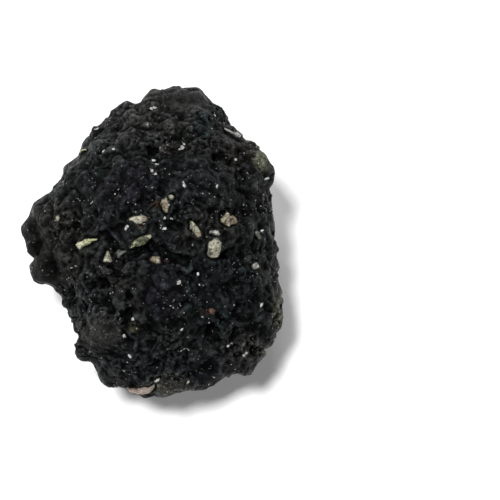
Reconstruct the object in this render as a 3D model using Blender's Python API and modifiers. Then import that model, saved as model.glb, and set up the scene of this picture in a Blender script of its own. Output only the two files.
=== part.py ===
"""A black lava rock: one lump of dark clinkery basalt with pale mineral grains seated in its skin.

Lengths in the tables are millimetres, the scene is in metres, +Z is up, and the rock rests on the flat
spot at z = 0. The showing face leans towards -Y. Places on it are given as (across, up) from its middle,
as seen from the eye point, and out is the height of a form towards that point.
"""

import math

import bmesh
import bpy
import numpy as np
from mathutils import Matrix, Vector, noise
from mathutils.bvhtree import BVHTree

MM = 0.001

# Driving dimensions, in metres and radians: the stone's middle above its foot, and how its face is seen
CENTRE = Vector((0.0001, -0.0019, 0.036))
FACE_TILT = math.radians(25)
EYE_DISTANCE = 0.560
EYE_ACROSS = 0.0388
EYE_UP = -0.0036

# The stone's mesh
BALL_CORNERS = 60
VOXEL = 0.0016
ROCK_TRIANGLES = 7600
SEED = 7

# Small knobs all over: radius, then length, height and sunken part in radii
KNOBS = 230
KNOB_SPREAD = 0.12
KNOB_RADIUS = (0.0032, 0.0072)
KNOB_LONG = (0.9, 1.5)
KNOB_FLAT = (0.55, 0.8)
KNOB_SINK = (0.15, 0.5)

# Small pits all over: radius, and depth in radii. Knobs and pits stay this far above the foot.
PITS = 70
PIT_SPREAD = 0.2
PIT_RADIUS = (0.0022, 0.0040)
PIT_DEPTH = (0.5, 0.8)
FOOT_CLEAR = 0.007

# Grains: corners of each, thickness and sunken part in short sizes, and the gap to the stone
GRAIN_CORNERS = 16
GRAIN_SPREAD = 0.35
GRAIN_DEPTH = 0.9
GRAIN_SINK = 0.02
GAP = 0.0003

# Grains on the sides and back: directions tried all round, long size, and short size in long sizes
FAR_SPREAD = 40
FAR_LONG = (0.0035, 0.0075)
FAR_SHORT = (0.45, 0.8)
FAR_COLOURS = ("cream", "tan", "yellow cream", "white")

# Axes of the showing face
ACROSS = Vector((1, 0, 0))
UP = Vector((0, math.cos(FACE_TILT), math.sin(FACE_TILT)))
OUT = Vector((0, -math.sin(FACE_TILT), math.cos(FACE_TILT)))
EYE = CENTRE + EYE_ACROSS * ACROSS + EYE_UP * UP + EYE_DISTANCE * OUT
FACE_TURN = Matrix((ACROSS, UP, OUT)).transposed().to_4x4()
NOISE_SHIFT = Vector((5, 1, 3))

# Balls whose hull is the main mass: across, up, out, radius
MASSES = {
    "crown left": (3.5, 46, -14, 13),
    "crown right": (16, 44.5, -12, 13.5),
    "upper left": (-9, 38, -12, 14.5),
    "left shoulder": (-34, 6, -4, 14.5),
    "right shoulder": (30, 22, -6, 16.5),
    "right flank": (33, -8, 0, 16),
    "lower right": (36, -30, 6, 14.5),
    "bottom right": (29, -42, 11, 11.5),
    "bottom": (10, -48.3, 14, 13),
    "bottom middle": (-2, -48, 14, 13),
    "bottom left": (-13, -45, 12, 13),
    "lower left": (-19, -31, 8, 12.5),
    "deck left": (-12, 16, 12, 20),
    "deck right": (14, 14, 13, 20),
    "deck low": (5, -18, 14, 20),
    "keel left": (-18, 6, -24, 16.5),
    "keel middle": (2, 4, -27, 15),
    "keel right": (20, 0, -23, 16),
    "keel back": (4, 22, -30, 14),
    "keel front": (4, -19, -16, 16.5),
}

# Ellipsoid lumps: across, up, out, then the half sizes across, up and out, and a turn in degrees
LUMPS = {
    "crown": (10.8, 50.6, -16, 16, 11, 12, -6),
    "crown step": (-10.2, 47.8, -16, 9, 7.8, 9, 20),
    "upper left bump": (-21.3, 36.2, -12, 8, 7.5, 9, 30),
    "left bump": (-29, 25.8, -9, 7, 7, 9, 30),
    "left shoulder": (-38, 8, -4, 10.5, 11, 11, 0),
    "left knob": (-47.5, 1.5, -3, 5.8, 8, 7, 10),
    "left lobe": (-41.3, -10, 0, 8.2, 8.5, 9, 20),
    "lower left knob": (-27.5, -44.5, 11, 4.4, 4.2, 6, 40),
    "corner knob": (-15.6, -53.5, 14, 4.8, 5.0, 7, 0),
    "bottom right knob": (37.5, -49.8, 13, 4, 3.8, 5, 0),
    "lower right knob": (42, -45.6, 12, 3.4, 3.4, 5, 0),
    "right shoulder": (37, 28, -6, 11, 13, 12, 15),
    "right rim": (45.5, -31, 6, 7, 12, 9, -6),
    "central bulge": (4, -21, 20, 18.5, 17, 13, 10),
    "smooth brow": (-5, -13.5, 27.5, 9, 7.5, 6.5, 25),
    "smooth lump": (9, 0.5, 28, 7.5, 8.5, 7, -20),
    "upper deck": (-4, 33, 8, 13, 8, 9, 10),
    "crown front": (13, 35, 7, 12, 7.5, 9, -20),
    "upper right deck": (26, 22, 15, 9, 10, 9, 20),
    "middle deck": (-8, 17, 28, 12, 7, 7, 8),
    "right middle deck": (15, 14, 28, 9, 7, 7, -12),
    "right deck": (31, 2, 18, 10, 8, 9, 0),
    "left fold": (-31, 8, 15, 5, 13, 7, 8),
    "outer left fold": (-40, 6, 6, 4, 10, 6, 4),
    "inner left fold": (-21, 14, 23, 6, 10, 7, -12),
    "left ledge": (-22, -4, 23, 9, 5, 7, 20),
    "left flank": (-22.5, -16, 16, 8, 9, 9, 0),
    "lower left swirl": (-16, -35, 19.5, 12, 7, 8, -30),
    "lower swirl": (-7, -46, 18, 11, 5, 7, -15),
    "lower middle": (12, -43, 19, 10, 6, 7, 10),
    "lower right lump": (27, -36, 18, 10, 8, 8, 0),
    "right low lump": (36, -15, 17, 9, 9, 8, 0),
    "back ridge": (6, 34, -34, 16, 8, 9, 10),
    "back lump": (-16, 24, -30, 10, 9, 9, 30),
    "under lump left": (-22, -10, -18, 9, 12, 9, 0),
    "under lump right": (30, 6, -22, 10, 13, 9, 20),
    "under lump front": (14, -38, -4, 13, 9, 10, 0),
}

# Dents: across, up, radius, depth
DENTS = {
    "upper hollow": (0, 37.6, 3.4, 3.2),
    "square hollow": (-21.5, 26.5, 4.2, 3.0),
    "right hollow": (27, 33, 4.0, 2.2),
    "far right hollow": (35, 26, 3.6, 2.0),
    "low hollow": (22.5, -37.5, 5.0, 3.6),
    "slot top": (-9.5, -22.5, 2.8, 2.6),
    "slot bottom": (-10.5, -28.5, 2.8, 3.0),
    "scoop": (21, -51, 6.5, 2.6),
    "left hollow": (-16.2, -2.0, 2.8, 2.6),
    "lobe notch": (-37, -22.5, 8.0, 4.5),
}

# Creases: points (across, up) along each, then its half width and depth
CREASES = {
    "bulge ledge": (((-14, -9), (-8, -5.5), (-3, -4), (5, -6), (12, -8)), 2.2, 3.0),
    "left wedge": (((-22, 3), (-17, -1), (-15, -6), (-15, -14)), 1.7, 2.6),
    "upper step": (((-26, 22), (-12, 26), (-4, 22)), 2.0, 1.8),
    "fold line": (((-31, 16), (-30, 4), (-33, -4)), 2.0, 2.0),
    "right seam": (((20, 16), (26, 10), (38, 12)), 2.0, 1.8),
    "lower seam": (((-12, -32), (0, -35), (12, -33)), 2.0, 2.0),
}

# Roughness of the skin: wavelength and height
ROUGHNESS = {
    "swells": (20, 1.6),
    "knobs": (7.5, 1.3),
    "crumbs": (4.0, 0.7),
}

# Pale grains: across, up, long size, short size, turn in degrees, and colour
FACE_GRAINS = {
    "grain_west_long": (-26.6, -1.0, 8.6, 3.4, 25, "yellow cream"),
    "grain_west_block": (-18.2, -6.4, 4.2, 3.6, 70, "cream"),
    "grain_west_grey": (-12.5, -5.2, 3.8, 3.2, 20, "grey"),
    "grain_west_dot": (-37.9, 8.8, 2.6, 2.2, 90, "cream"),
    "grain_middle_long": (-5.8, 8.5, 7.4, 3.8, 5, "cream"),
    "grain_middle_mottled": (-4.7, -0.2, 8.8, 3.6, 30, "yellow cream"),
    "grain_middle_block": (0.9, -7.7, 4.0, 2.8, -10, "cream"),
    "grain_middle_wedge": (5.1, 14.2, 6.6, 4.2, 100, "tan"),
    "grain_middle_dot": (7.2, 17.5, 2.8, 2.4, 20, "cream"),
    "grain_east_slant": (17.0, 4.4, 8.0, 3.0, -62, "cream"),
    "grain_east_sliver": (24.5, 3.3, 4.4, 2.2, 0, "white"),
    "grain_east_block": (24.6, -2.9, 8.2, 5.4, 87, "cream"),
    "grain_east_chunk": (30.4, 8.4, 6.2, 5.8, 40, "tan"),
    "grain_east_green": (41.7, 2.4, 3.6, 2.8, 70, "yellow cream"),
    "grain_east_dot": (41.0, -10.1, 2.8, 2.6, 80, "cream"),
    "grain_rusty": (23.9, -28.4, 3.0, 2.8, 0, "rust"),
    "grain_rim_rod": (-27.3, 35.4, 3.6, 1.8, 15, "yellow cream"),
    "grain_notch_streak": (32.6, 42.2, 4.6, 2.0, -28, "white"),
    "crust_flake": (-5.0, -58.9, 11.5, 4.2, -12, "pink white"),
    "crust_tip": (1.6, -55.6, 4.0, 2.4, 30, "white"),
}

# Colours of the stone and its grains, then their roughness
COLOURS = {
    "basalt": ((0.021, 0.021, 0.023), 0.62),
    "cream": ((0.70, 0.60, 0.42), 0.45),
    "yellow cream": ((0.66, 0.60, 0.36), 0.45),
    "tan": ((0.52, 0.40, 0.26), 0.55),
    "grey": ((0.34, 0.34, 0.30), 0.35),
    "white": ((0.72, 0.71, 0.68), 0.40),
    "rust": ((0.32, 0.16, 0.08), 0.60),
    "pink white": ((0.72, 0.56, 0.48), 0.55),
}


def clear_scene():
    for old in list(bpy.data.objects):
        bpy.data.objects.remove(old, do_unlink=True)


def new_collection(name):
    made = bpy.data.collections.new(name)
    bpy.context.scene.collection.children.link(made)
    return made


def material(name):
    """A Principled material in one of the stone's colours, made once."""
    made = bpy.data.materials.get(name)
    if made:
        return made
    colour, roughness = COLOURS[name]
    made = bpy.data.materials.new(name)
    made.use_nodes = True
    shader = made.node_tree.nodes["Principled BSDF"]
    shader.inputs["Base Color"].default_value = (*colour, 1)
    shader.inputs["Roughness"].default_value = roughness
    shader.inputs["Metallic"].default_value = 0
    made.diffuse_color = (*colour, 1)
    return made


def face_point(across, up, out=0.0):
    """The point seen at (across, up) on the face and raised by out towards the eye, all in millimetres."""
    on_plane = CENTRE + MM * (across * ACROSS + up * UP)
    return on_plane.lerp(EYE, out * MM / EYE_DISTANCE)


def ball_points(count):
    """Directions spread evenly all round, along a golden-angle spiral."""
    turn = math.pi * (3 - math.sqrt(5))
    heights = [1 - (2 * k + 1) / count for k in range(count)]
    rings = [math.sqrt(1 - height * height) for height in heights]
    return [
        Vector((ring * math.cos(turn * k), ring * math.sin(turn * k), height))
        for k, (ring, height) in enumerate(zip(rings, heights))
    ]


def strewn(count, spread, chance):
    """Directions all round like ball_points, each knocked off its place by up to about the spread."""
    for way in ball_points(count):
        yield (way + spread * Vector(chance.uniform(-1, 1, 3))).normalized()


def hull(points):
    """The convex hull of the points, as a new bmesh."""
    shape = bmesh.new()
    for point in points:
        shape.verts.new(point)
    made = bmesh.ops.convex_hull(shape, input=shape.verts)
    inner = [item for item in made["geom_interior"] if isinstance(item, bmesh.types.BMVert)]
    bmesh.ops.delete(shape, geom=inner, context="VERTS")
    bmesh.ops.recalc_face_normals(shape, faces=shape.faces)
    return shape


def add_object(name, shape, colour, collection):
    """An object made from the bmesh, which is freed."""
    mesh = bpy.data.meshes.new(name)
    shape.to_mesh(mesh)
    shape.free()
    made = bpy.data.objects.new(name, mesh)
    collection.objects.link(made)
    if colour:
        mesh.materials.append(material(colour))
    return made


def apply_modifiers(made):
    """Puts the evaluated mesh in place of the object's own, and drops its modifiers."""
    bpy.context.view_layer.update()
    graph = bpy.context.evaluated_depsgraph_get()
    mesh = bpy.data.meshes.new_from_object(made.evaluated_get(graph))
    made.modifiers.clear()
    made.data = mesh


def main_mass():
    """The hull of the named balls."""
    points = []
    for across, up, out, radius in MASSES.values():
        middle = face_point(across, up, out)
        points += [middle + radius * MM * way for way in ball_points(BALL_CORNERS)]
    return hull(points)


def add_lump(shape, middle, turn, sizes):
    """Adds an ellipsoid of these half sizes, in metres, along the axes of turn."""
    size = Matrix.Diagonal((*sizes, 1))
    bmesh.ops.create_icosphere(
        shape, subdivisions=3, radius=1, matrix=Matrix.Translation(middle) @ turn @ size
    )


def add_named_lumps(shape):
    for across, up, out, *sizes, turn in LUMPS.values():
        turned = FACE_TURN @ Matrix.Rotation(math.radians(turn), 4, "Z")
        add_lump(shape, face_point(across, up, out), turned, [size * MM for size in sizes])


def add_scattered_knobs(shape, mass, chance):
    """Adds small knobs all over the mass, each sunk into it and flattened along its normal."""
    for way in strewn(KNOBS, KNOB_SPREAD, chance):
        place, normal, _, _ = mass.ray_cast(CENTRE, way)
        if place.z < FOOT_CLEAR:
            continue
        radius = chance.uniform(*KNOB_RADIUS)
        long = chance.uniform(*KNOB_LONG)
        flat = chance.uniform(*KNOB_FLAT)
        spin = Matrix.Rotation(chance.uniform(0, math.pi), 4, "Z")
        turned = normal.to_track_quat("Z", "Y").to_matrix().to_4x4() @ spin
        sink = chance.uniform(*KNOB_SINK) * radius
        add_lump(shape, place - sink * normal, turned, (radius * long, radius, radius * flat))


def surface_of(made):
    return BVHTree.FromObject(made, bpy.context.evaluated_depsgraph_get())


def on_face(surface, across, up):
    """Place and normal where the line of sight through (across, up) meets the surface."""
    aim = face_point(across, up) - EYE
    place, normal, _, _ = surface.ray_cast(EYE, aim.normalized())
    return place, normal


def along(points, step):
    """Points every step millimetres along the line through the given points."""
    for start, end in zip(points, points[1:]):
        start, end = Vector(start), Vector(end)
        count = max(1, round((end - start).length / step))
        for k in range(count):
            yield start.lerp(end, k / count)
    yield Vector(points[-1])


def all_dents(surface, chance):
    """Middle, radius and depth of each dent, in metres: the named ones, then small pits strewn all over."""
    for across, up, radius, depth in DENTS.values():
        yield on_face(surface, across, up)[0], radius * MM, depth * MM
    for way in strewn(PITS, PIT_SPREAD, chance):
        middle, _, _, _ = surface.ray_cast(CENTRE + way, -way)
        radius = chance.uniform(*PIT_RADIUS)
        if middle.z > FOOT_CLEAR:
            yield middle, radius, chance.uniform(*PIT_DEPTH) * radius


def carve(rock, chance):
    """Moves the rock's points along their normals: rough noise all over, then the dents and the creases."""
    mesh = rock.data
    count = len(mesh.vertices)
    places = np.empty(count * 3)
    normals = np.empty(count * 3)
    mesh.vertices.foreach_get("co", places)
    mesh.vertex_normals.foreach_get("vector", normals)
    places = places.reshape(-1, 3)
    normals = normals.reshape(-1, 3)
    surface = surface_of(rock)
    moved = np.array([rough_height(Vector(place)) for place in places])
    for middle, radius, depth in all_dents(surface, chance):
        near = np.linalg.norm(places - middle, axis=1) / radius
        moved -= depth * np.clip(1 - near**2, 0, None) ** 1.5
    for line, half_width, depth in CREASES.values():
        nearest = np.full(count, np.inf)
        for across, up in along(line, 1.0):
            middle, _ = on_face(surface, across, up)
            nearest = np.minimum(nearest, np.linalg.norm(places - middle, axis=1))
        moved -= depth * MM * np.exp(-((nearest / (half_width * MM)) ** 2))
    places += normals * moved[:, None]
    mesh.vertices.foreach_set("co", places.ravel())
    mesh.update()


def rough_height(place):
    """Height of the clinkery roughness at a place, in metres."""
    height = 0
    for k, (size, most) in enumerate(ROUGHNESS.values()):
        height += most * MM * noise.noise((place - CENTRE) / (size * MM) + k * NOISE_SHIFT)
    return height


def make_rock(collection, chance):
    """The stone: the main mass and its lumps fused by a voxel remesh, softened, carved and thinned."""
    shape = main_mass()
    mass = BVHTree.FromBMesh(shape)
    add_named_lumps(shape)
    add_scattered_knobs(shape, mass, chance)
    rock = add_object("lava_rock", shape, None, collection)
    fuse = rock.modifiers.new("fuse", "REMESH")
    fuse.mode = "VOXEL"
    fuse.voxel_size = VOXEL
    soften = rock.modifiers.new("soften", "SMOOTH")
    soften.iterations = 3
    apply_modifiers(rock)
    carve(rock, chance)
    thin = rock.modifiers.new("thin", "DECIMATE")
    thin.ratio = 0.5 * ROCK_TRIANGLES / len(rock.data.polygons)
    apply_modifiers(rock)
    rock.data.materials.append(material("basalt"))
    return rock


def grain_shape(corners, sizes, grow=0.0):
    """An angular broken grain with flat faces: the hull of these corner directions on an ellipsoid."""
    half_sizes = [size / 2 + grow for size in sizes]
    return hull([Vector(half * part for half, part in zip(half_sizes, way)) for way in corners])


def add_grain(name, place, normal, turn, sizes, colour, parts, cutters, chance):
    """A grain seated in the stone, and the cutter for its socket, which leaves a thin gap round it."""
    long_way = math.cos(turn) * ACROSS + math.sin(turn) * UP
    long_way = (long_way - long_way.dot(normal) * normal).normalized()
    axes = Matrix((long_way, normal.cross(long_way), normal)).transposed().to_4x4()
    seat = Matrix.Translation(place - GRAIN_SINK * sizes[2] * normal) @ axes
    corners = list(strewn(GRAIN_CORNERS, GRAIN_SPREAD, chance))
    grain = add_object(name, grain_shape(corners, sizes), colour, parts)
    cutter = add_object(f"socket_{name}", grain_shape(corners, sizes, GAP), None, cutters)
    grain.matrix_world = seat
    cutter.matrix_world = seat


def add_face_grains(surface, parts, cutters, chance):
    for name, (across, up, long, short, turn, colour) in FACE_GRAINS.items():
        place, normal = on_face(surface, across, up)
        normal = (normal + OUT).normalized()
        sizes = (long * MM, short * MM, GRAIN_DEPTH * short * MM)
        add_grain(name, place, normal, math.radians(turn), sizes, colour, parts, cutters, chance)


def add_far_grains(surface, parts, cutters, chance):
    """Grains on the sides and back, spread evenly over what the face leaves."""
    ways = [way for way in ball_points(FAR_SPREAD) if way.dot(OUT) < -0.2 and way.z > -0.5]
    for k, way in enumerate(ways):
        place, normal, _, _ = surface.ray_cast(CENTRE + way, -way)
        long = chance.uniform(*FAR_LONG)
        short = chance.uniform(*FAR_SHORT) * long
        turn = chance.uniform(0, math.pi)
        sizes = (long, short, GRAIN_DEPTH * short)
        name = f"grain_far_{k + 1:02d}"
        colour = FAR_COLOURS[k % len(FAR_COLOURS)]
        add_grain(name, place, normal, turn, sizes, colour, parts, cutters, chance)


def add_foot_cutter(cutters):
    """The block whose top, at z = 0, cuts the flat spot that the rock rests on."""
    size = 0.2
    bpy.ops.mesh.primitive_cube_add(size=size, location=(0, 0, -size / 2))
    cutter = bpy.context.object
    cutter.name = "foot_cutter"
    for holder in list(cutter.users_collection):
        holder.objects.unlink(cutter)
    cutters.objects.link(cutter)


def cut_all(rock, cutters):
    """Cuts the sockets and the foot from the stone."""
    for cutter in cutters.objects:
        cutter.hide_render = True
        cutter.display_type = "WIRE"
    cut = rock.modifiers.new("sockets and foot", "BOOLEAN")
    cut.operation = "DIFFERENCE"
    cut.solver = "EXACT"
    cut.operand_type = "COLLECTION"
    cut.collection = cutters


def main():
    clear_scene()
    chance = np.random.default_rng(SEED)
    parts = new_collection("black_lava_rock")
    cutters = new_collection("cutters")
    rock = make_rock(parts, chance)
    surface = surface_of(rock)
    add_face_grains(surface, parts, cutters, chance)
    add_far_grains(surface, parts, cutters, chance)
    add_foot_cutter(cutters)
    cut_all(rock, cutters)


main()
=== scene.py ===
"""The looks of the black lava rock: its fine clinkery skin, its mineral grains and specks, light and camera.

Lengths in the tables are millimetres and the scene is in metres. A place on the showing face is given as
(across, up) from its middle, as seen from the eye point, where the camera stands.
"""
import itertools
import math

import bmesh
import bpy
import numpy as np
from mathutils import Matrix, Vector
from mathutils.bvhtree import BVHTree
from mathutils.geometry import convex_hull_2d, intersect_line_plane


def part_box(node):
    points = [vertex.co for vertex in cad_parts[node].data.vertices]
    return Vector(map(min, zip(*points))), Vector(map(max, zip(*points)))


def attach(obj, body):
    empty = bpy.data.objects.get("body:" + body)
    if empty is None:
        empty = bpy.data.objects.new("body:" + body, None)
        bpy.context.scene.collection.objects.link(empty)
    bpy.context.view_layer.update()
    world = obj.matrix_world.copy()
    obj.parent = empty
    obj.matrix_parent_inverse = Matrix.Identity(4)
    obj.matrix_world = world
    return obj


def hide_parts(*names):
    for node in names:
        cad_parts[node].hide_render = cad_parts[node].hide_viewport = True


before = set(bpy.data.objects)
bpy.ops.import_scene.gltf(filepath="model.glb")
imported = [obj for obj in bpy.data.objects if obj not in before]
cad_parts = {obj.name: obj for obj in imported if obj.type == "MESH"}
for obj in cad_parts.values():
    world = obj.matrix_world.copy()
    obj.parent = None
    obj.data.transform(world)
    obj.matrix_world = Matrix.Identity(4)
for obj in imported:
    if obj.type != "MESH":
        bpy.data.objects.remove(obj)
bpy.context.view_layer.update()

MM = 0.001

# How the face is seen, in metres: the stone's middle, the face's tilt, and where the eye is from there
CENTRE = Vector((0.0001, -0.0019, 0.036))
FACE_TILT = math.radians(25)
EYE_DISTANCE = 0.560
EYE_ACROSS = 0.0388
EYE_UP = -0.0036
ACROSS = Vector((1, 0, 0))
UP = Vector((0, math.cos(FACE_TILT), math.sin(FACE_TILT)))
OUT = Vector((0, -math.sin(FACE_TILT), math.cos(FACE_TILT)))
EYE = CENTRE + EYE_ACROSS * ACROSS + EYE_UP * UP + EYE_DISTANCE * OUT

# The camera's focal length and the width of its sensor
LENS = 100.8
SENSOR_WIDTH = 36

# The skin's mesh, in metres: distance of points that are one, reach of a socket round its grain, and cells
WELD = 0.000002
SOCKET_REACH = 0.00036
FINE_VOXEL = 0.0005

# How often the skin is softened, how many triangles it keeps, and the seed of every random draw
SOFTEN_TIMES = 24
SKIN_TRIANGLES = 196000
SEED = 11

# Heights over the floor between which the skin's relief sets in
FOOT_BLEND = (0.2, 3.0)

# Noises that bend a pattern out of line: size, shift and seed
BENDS = {"broad": (8, 40, 5), "jagged": (2.6, 70, 15), "tint": (3.0, 90, 60), "mark": (0.8, 0, 55)}

# How far they bend the folds and knobs, the parts of the face (broad, jagged), its tints, and grains' marks
FOLD_BEND = 1.8
RELIEF_BENDS = (2.0, 2.2)
TINT_BEND = 2.0
MARK_BEND = 0.8

# Smooth and rough parts all round: their size, the noise of each, and how rough the smooth ones stay
ROUGH_SIZE = 17
ROUGH_NOISE = (-0.20, 0.16)
LEAST_ROUGH = 0.15

# Rounded folds of the skin with creases between them: size, height, and height in smooth parts
FOLD_LAYERS = {
    "lumps": (13, 2.2, 2.2),
    "folds": (6.0, 1.5, 0.8),
    "wrinkles": (2.6, 0.75, 0.25),
    "crumbs": (1.25, 0.5, 0.15),
}

# How a fold rises: power, softness of its crease, level that adds nothing, and the size that the rim keeps
FOLD_POWER = 0.7
CREASE_SOFTNESS = 0.003
FOLD_LEVEL = 0.3
BROAD_FOLD = 10

# Knobs and pits of the rough parts: spacing, height, share of them that are pits, and pit depth
KNOB_LAYERS = {
    "knobs": (3.3, 0.7, 0.22, 1.2),
    "grains": (1.7, 0.45, 0.22, 0.6),
}

# Radius of a knob and of a pit in spacings, the lowest knob's share of the height, and the share sunk
KNOB_RADIUS = 0.9
PIT_RADIUS = 0.6
LOWEST_KNOB = 0.4
KNOB_BASE = 0.45

# Broken facets of the whole skin: size, and how steeply they tilt
FACET_LAYERS = {"broad": (5.5, 0.7), "small": (2.2, 0.7)}
FACET_SHARPNESS = 6.5

# Where the showing face is smooth: across, up, half width, half height
SMOOTH_PARTS = (
    (3.6, -20.4, 10, 9), (-5.2, -13.5, 9, 9), (9, 0, 7, 9), (28, 20, 15, 11), (-13, -41, 16, 10),
    (8, 52, 18, 10), (-15, 21, 13, 11), (-41, -11, 8, 8), (22, -52, 8, 6), (24, 2, 16, 9), (14, 28, 16, 10),
    (-27, 33, 11, 10), (-44, 6, 5, 14),
)

# Even facets of the showing face: across, up, half width, half height
EVEN_PARTS = (
    (7, -57.5, 9, 5), (22, -52, 7, 5), (43.5, 32.5, 4, 6), (-43, -12, 8, 8), (-21, -37, 10, 8),
    (-50, 8, 5, 12), (-30, 36, 6, 9), (14, 56, 14, 5),
)

# How much of the roughness the smooth parts lose, and how much of the relief the even facets lose
SMOOTH_SHARE = 0.8
EVEN_SHARE = 0.75

# Where the soft edge of a part begins and ends, in shares of its half width and half height
PATCH_EDGE = (0.55, 1.15)

# Dark hollows of the showing face: across, up, radius, depth
HOLLOWS = (
    (-9.8, -26.4, 2, 2.6), (-10.9, -40.2, 2.2, 1.8), (-21.2, -18, 2.4, 1.8), (-41, -10.6, 2.4, 1.9),
    (23.4, -36.4, 2.6, 2.6), (22.4, -51.4, 3.4, 1.6), (0.2, 38.2, 2.8, 2.2), (10.4, 43.2, 2.6, 1.6),
    (25.2, 33.4, 1.7, 2), (30.8, 30.6, 2, 2), (36.4, 27.2, 2.3, 1.8), (44.4, 21.4, 2, 1.4),
    (-19.7, 29, 2.3, 2.2), (-30.8, 17.4, 1.8, 1.6), (-31.7, 9.4, 1.4, 1.8), (-31.4, 6, 1.3, 1.6),
    (-15.7, 2, 2.4, 2), (-13, 6.2, 1.8, 1.6), (-3.6, -20.8, 1.2, 1), (22.8, 41.6, 1.1, 1.2),
    (-35.2, -9, 1.5, 1.6), (-34.4, -14, 1.6, 2), (-33.6, -19, 1.7, 2), (-32, -24, 1.5, 1.6),
    (13.6, -8.2, 2.4, 1.8), (31.4, -3.6, 1.8, 1.6), (16, 12.6, 1.8, 1.8), (-24.6, -6.6, 1.6, 1.4),
)

# How much lower the skin's fine relief is where the stone's worn rim turns away
RIM_WEAR = 0.75

# Ropy ripples of the lower left: middle across and up, radii where they set in and end, spacing, height
ROPES = (-15, -26, (16, 19), (26, 29), 2.4, 0.2)

# How far below their middle the ripples set in
ROPES_BELOW = (6, 14)

# Places of the rim that stand further in or out than the plain stone: across, up, radius, push outwards
RIM_PUSHES = (
    (-38.2, -21, 7, -3), (-22.6, -51, 4.5, -2.4), (-17, -57, 3.5, -0.8), (41.8, -50, 3, -1.2),
    (37.5, -53.5, 2.5, 1), (45, -46.5, 3, -1.6), (44.8, -41.5, 2.5, 1.2), (50, -39, 2.5, -0.8),
    (51, -33, 5, -2), (49.4, 33.2, 4, -1.8), (49.6, 16, 3, -1.6), (44.3, 38.8, 3, -1.6),
    (0.5, 60, 4, 0.8), (-35.8, 30, 4, 1.4), (0.5, -62, 7, 2.4), (31, -53.5, 3.5, -1),
    (-9.9, 56.1, 4, 1.2), (-46, 16.6, 4, 1.6), (-49.5, -7.6, 1.8, -1.8),
)

# The stone's own tints, blended by broad noise all round
GROUND_TINTS = (
    (0.0176, 0.0188, 0.021), (0.016, 0.019, 0.0198), (0.0182, 0.0198, 0.0196), (0.0206, 0.0215, 0.0198),
)

# Tinted parts of the showing face, a few of them painted light: across, up, half width, half height, colour
FACE_TINTS = (
    (27, -19, 21, 21, (0.013, 0.0174, 0.0184)),
    (-10, 23, 15, 11, (0.0145, 0.0148, 0.0185)),
    (4, -22, 10, 10, (0.0128, 0.0135, 0.0178)),
    (-38, -4, 14, 18, (0.018, 0.0185, 0.016)),
    # The crown is painted lighter, as painted light falling on it from above.
    (2, 51, 24, 13, (0.043, 0.0425, 0.041)),
    (-41, 9, 8, 9, (0.024, 0.024, 0.0215)),
    (38, 10, 10, 10, (0.0125, 0.014, 0.014)),
    (20.5, 47, 5.5, 6.5, (0.017, 0.025, 0.0262)),
    (-20, 29, 5, 5, (0.01, 0.0155, 0.014)),
    (11, 42, 5.5, 4, (0.013, 0.0175, 0.014)),
    (8, 36.5, 8, 4, (0.0255, 0.0232, 0.0222)),
    # Painted lighter too, as painted light from above.
    (-21, 38, 7, 6, (0.036, 0.041, 0.04)),
    (35, 36, 6, 6, (0.029, 0.0262, 0.0222)),
    (-21, -36, 10, 9, (0.037, 0.0372, 0.035)),
    (-7.5, -34.5, 2.6, 2.6, (0.064, 0.06, 0.04)),
    (50.5, -27, 3, 9, (0.11, 0.11, 0.08)),
    (40, -46, 10, 8, (0.034, 0.0355, 0.033)),
    (46, -46, 5, 7, (0.048, 0.048, 0.04)),
    # The bottom strip is partly its own paler brownish-grey underside and partly painted light reflected
    # from the floor.
    (7, -57.5, 9, 5, (0.056, 0.055, 0.0455)),
    (22, -51.5, 8, 5, (0.013, 0.015, 0.019)),
    # A paler line along the bottom rim: painted light reflected from the floor, on a paler underside.
    (16, -61, 12, 1.6, (0.1, 0.094, 0.08)),
    (43.8, 32.8, 4, 5, (0.23, 0.225, 0.165)),
    (44.3, 32.4, 3, 4, (0.145, 0.15, 0.098)),
    (4.4, -7.8, 1.2, 1.2, (0.045, 0.008, 0.015)),
    (21, -28, 1.7, 1.4, (0.05, 0.029, 0.02)),
    (0.9, 14.4, 2, 1.2, (0.05, 0.031, 0.018)),
    (-4.6, 5.8, 3.4, 1, (0.044, 0.032, 0.022)),
    (44.6, 21.4, 3, 2.5, (0.02, 0.0155, 0.013)),
    (-41, -10.6, 4.2, 5.4, (0.002, 0.002, 0.0022)),
)

# How a grain sits: its rim over the stone, the skin's bed under the rim, and how far out that reaches
GRAIN_LIFT = 0.3
BED_DEPTH = 0.4
BED_SHARE = 0.9
BED_REACH = (0.2, 1.3)

# The skin that a bed can move: height over or under the rim's plane, and distance from the grain's middle
BED_HEIGHT = 4
BED_RADIUS = 12

# A grain's mesh cells in metres, and its top and its root: share of its short side, least and most
GRAIN_VOXEL = 0.00015
GRAIN_TOP = (0.34, 0.3, 1.0)
GRAIN_ROOT = (0.7, 0.8, 2.2)

# Least and most tilt of a grain's top, its peak as a share of its short side, and the luck of its corners
TOP_TILT = (0.5, 0.9)
TOP_PEAK = 0.12
CORNER_LUCK = 0.3

# A grain's broken surface: size and height of its noises, and of the steps between its cells
GRAIN_NOISES = ((1.1, 0.16), (0.45, 0.12))
GRAIN_STEPS = (1.0, 0.14)

# How far in from its outline a grain's stained rim reaches
RIM_STAIN = 0.45

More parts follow.
